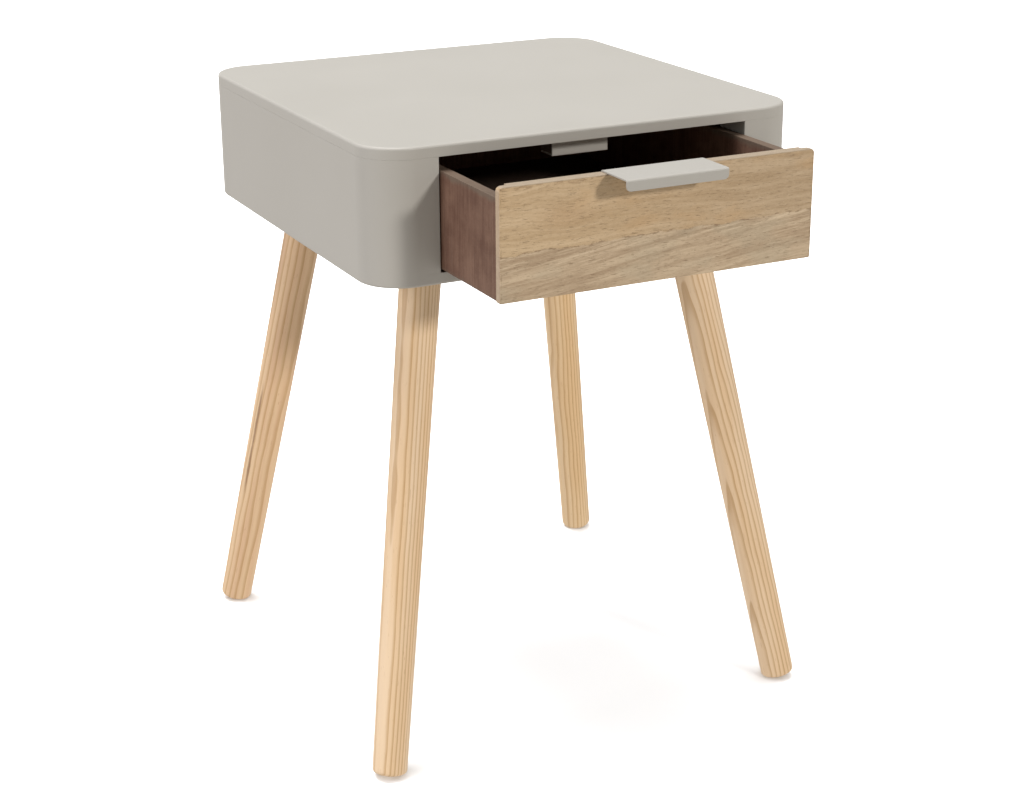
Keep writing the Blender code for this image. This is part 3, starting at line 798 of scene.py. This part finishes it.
def stained(name):
    """Plywood with upright grain under a blotchy stain, rubbed pale along its top edge."""
    material, surface, place = begin(name)
    drawn = place.scaled(1, 1, 0.05)
    streaks = drawn.noise(420.0, 4.0, 0.65)
    blotches = place.noise(38.0, 5.0, 0.65)
    fine = place.noise(900.0, 3.0, 0.7)
    up = place.axis(2)
    tone = (streaks * 0.35 + blotches * 0.45 + fine * 0.2).ramp(0.35, 0.65)
    colour = tone.tint((0.096, 0.043, 0.026), (0.177, 0.098, 0.064))
    rubbed = (up + (blotches - 0.5) * 0.014 - side_high.z).ramp(-0.0065, -0.0005)
    lower_rub = 1 - (up + (streaks - 0.5) * 0.006 - side_low.z).ramp(0.0, 0.0035)
    colour = (rubbed * 0.68 + lower_rub * 0.30).tint(colour, (0.128, 0.100, 0.071))
    scuffs = drawn.noise(170.0, 5.0, 0.75).ramp(0.60, 0.74)
    colour = (scuffs * 0.22).tint(colour, (0.300, 0.225, 0.180))
    feed(
        surface,
        Base_Color=colour,
        Roughness=0.55 + fine * 0.22,
        Normal=(streaks * 0.6 + fine * 0.4).relief(0.00014),
        Specular_IOR_Level=0.30,
    )
    return material


ply = stained("red_stained_plywood")
for node, name in (
    ("drawer_side_left", "plywood_side_left"),
    ("drawer_side_right", "plywood_side_right"),
    ("drawer_back", "plywood_back"),
):
    low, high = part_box(node)
    board = carve(block(low, high), [bottom_groove()])
    ease(board, BOARD_ARRIS, 2, lambda co: near(co.z, high.z))
    board = shaped(name, board, ply)
    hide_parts(node)
    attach(board, "drawer")

hardboard, surface, place = begin("dark_hardboard")
matted = place.noise(1100.0, 6.0, 0.8)
clouds = place.noise(22.0, 3.0)
feed(
    surface,
    Base_Color=(matted * 0.85 + clouds * 0.15).ramp(0.35, 0.65).tint(
        (0.055, 0.032, 0.021), (0.115, 0.072, 0.049)
    ),
    Roughness=0.62 + matted * 0.2,
    Normal=matted.relief(0.00012),
)
bottom = block(bottom_low, bottom_high)
ease(bottom, BOTTOM_ARRIS, 1, lambda co: True)
bottom = shaped("hardboard_bottom", bottom, hardboard)
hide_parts("drawer_bottom")
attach(bottom, "drawer")

# ---- The pull ----------------------------------------------------------------------------
# A strip of sheet steel bent twice: a flange screwed behind the front, a plate over its
# upper edge and a lip to pull on. It is powder-coated in the colour of the case.

PULL_THICKNESS = 0.0012
PULL_LIP = 0.009
PULL_BEND = 0.0006
PULL_CORNER = 0.004
COAT_ROUND = 0.00028
MACHINE_PITCH = 0.0008
BEND_STEPS = 8

coated = sprayed("taupe_powder_coat", (0.388, 0.371, 0.334), (0.374, 0.356, 0.319), 1500.0)

half_sheet = PULL_THICKNESS / 2
bend = PULL_BEND + half_sheet
plate = pull_high.z - half_sheet
back = front_high.y - half_sheet
lip = pull_low.y + half_sheet
rear_bend = arc((back - bend, plate - bend), bend, 0.0, 0.5 * pi, BEND_STEPS)
fore_bend = arc((lip + bend, plate - bend), bend, 0.5 * pi, 0.5 * pi, BEND_STEPS)
headings = [0.5 * pi * step / BEND_STEPS for step in range(BEND_STEPS + 1)]
spine = [(point, turn, 0.0) for point, turn in zip(rear_bend, headings)]
spine += [(point, turn + 0.5 * pi, 0.0) for point, turn in zip(fore_bend, headings)]


def rounded_end(across, tip, turn, steps=8):
    """The last stretch of the strip, where its two corners are rounded off, tip first."""
    inward = 1 if tip < plate else -1
    return [
        (
            (across, tip + inward * PULL_CORNER * (1 - cos(0.5 * pi * step / steps))),
            turn,
            PULL_CORNER * (1 - sin(0.5 * pi * step / steps)),
        )
        for step in range(steps + 1)
    ]


spine = (
    rounded_end(back, pull_high.z - PULL_FLANGE, 0.0)
    + spine
    + rounded_end(lip, pull_high.z - PULL_LIP, pi)[::-1]
)
strip = bmesh.new()
rings = []
half_width = (pull_high.x - pull_low.x) / 2
middle_x = (pull_high.x + pull_low.x) / 2
for (y, z), turn, drawn_in in spine:
    reach = half_width - drawn_in
    outwards = (half_sheet * cos(turn), half_sheet * sin(turn))
    ring = []
    for x, side in ((-reach, 1), (reach, 1), (reach, -1), (-reach, -1)):
        corner = (middle_x + x, y + side * outwards[0], z + side * outwards[1])
        ring.append(strip.verts.new(corner))
    rings.append(ring)
for first, second in zip(rings, rings[1:]):
    for i, j in ((0, 1), (1, 2), (2, 3), (3, 0)):
        strip.faces.new((first[i], first[j], second[j], second[i]))
strip.faces.new(rings[0])
strip.faces.new(rings[-1][::-1])
pull = shaped("bent_pull", strip, coated)
soft = pull.modifiers.new("coated edges", "BEVEL")
soft.width = COAT_ROUND
soft.segments = 2
soft.angle_limit = radians(60)
pull.modifiers.move(1, 0)
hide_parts("drawer_pull")
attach(pull, "drawer")

for hand in ("left", "right"):
    low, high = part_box("pull_screw_" + hand)
    head = (high.x - low.x) / 2
    shank = head / 2
    length = high.y - low.y
    profile = [(0, 0), (0.55 * head, 0.00008), (0.86 * head, 0.0005), (head, 0.0011)]
    profile += [(head, 0.0014), (shank, 0.0014)]
    profile += threaded(shank, 0.0018, length - 2 * shank, MACHINE_PITCH) + [(0, length)]
    bm = carve(turned(profile, BORE_SIDES), cross_recess(head, 0.0011))
    middle = Vector(((low.x + high.x) / 2, high.y, (low.z + high.z) / 2))
    spun = Matrix.Translation(middle) @ Matrix.Rotation(0.5 * pi, 4, "X")
    screw = shaped("plated_pull_screw_" + hand, placed(bm, spun), zinc)
    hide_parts("pull_screw_" + hand)
    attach(screw, "drawer")

# ---- The studio --------------------------------------------------------------------------
# A wide pale floor under soft lights: a large one overhead, one from the left, a faint one
# from the front left and a low key from the front right. A wash that reaches only the floor
# keeps its shadows faint, and the floor throws none of that light back on the table.

floor_finish, surface, place = begin("pale_floor")
feed(surface, Base_Color=(0.80, 0.80, 0.80, 1.0), Roughness=0.9, Specular_IOR_Level=0.1)
floor = bmesh.new()
bmesh.ops.create_circle(floor, cap_ends=True, radius=14.0, segments=96)
bmesh.ops.translate(floor, vec=(0, 0, -0.0005), verts=floor.verts)
floor = shaped("studio_floor", floor, floor_finish)
floor.visible_diffuse = False
floor.visible_glossy = False


def soft_light(name, toward, strength, spread, colour=(1.0, 1.0, 1.0)):
    """A far, wide light that shines from the direction given."""
    light = bpy.data.lights.new(name, "SUN")
    light.energy = strength
    light.color = colour
    light.angle = radians(spread)
    lamp = bpy.data.objects.new(name, light)
    lamp.rotation_euler = Vector(toward).to_track_quat("Z", "Y").to_euler()
    bpy.context.collection.objects.link(lamp)
    return lamp


soft_light("overhead", (-0.10, 0.20, 1.0), 3.90, 40, (1.0, 1.0, 1.01))
soft_light("left_side", (-1.0, 0.15, 0.35), 1.25, 30, (1.0, 1.0, 1.07))
soft_light("left_front", (-1.0, -0.25, 0.20), 0.12, 20)
soft_light("key", (0.34, -1.0, 0.40), 1.55, 6, (1.0, 0.975, 0.95))
wash = soft_light("floor_wash", (0.0, 0.0, 1.0), 3.6, 120)
wash.light_linking.receiver_collection = bpy.data.collections.new("lit_by_the_wash")
wash.light_linking.receiver_collection.objects.link(floor)

# The sky is pale at the horizon and dark above it, and what lies below stands for the light
# that a floor throws back.
world = bpy.data.worlds.new("studio")
world.use_nodes = True
sky = world.node_tree.nodes["Background"]
height = Wire(world.node_tree.nodes.new("ShaderNodeTexCoord").outputs["Generated"]).axis(2)
above = height.ramp(0.14, 0.24).tint((0.74, 0.74, 0.74), (0.14, 0.14, 0.14))
feed(sky, Color=height.ramp(-0.02, 0.0).tint((0.84, 0.80, 0.755), above))
bpy.context.scene.world = world
bpy.context.scene.view_settings.view_transform = "Standard"

lens = bpy.data.cameras.new("camera")
lens.lens = 68.86
lens.shift_x = -0.001
lens.shift_y = -0.008
camera = bpy.data.objects.new("camera", lens)
camera.matrix_world = (
    Matrix.Translation((-0.7709, -1.5203, 0.8886))
    @ Matrix.Rotation(radians(-26.65), 4, "Z")
    @ Matrix.Rotation(radians(90 - 19.60), 4, "X")
    @ Matrix.Rotation(radians(-0.31), 4, "Z")
)
bpy.context.collection.objects.link(camera)
bpy.context.scene.camera = camera
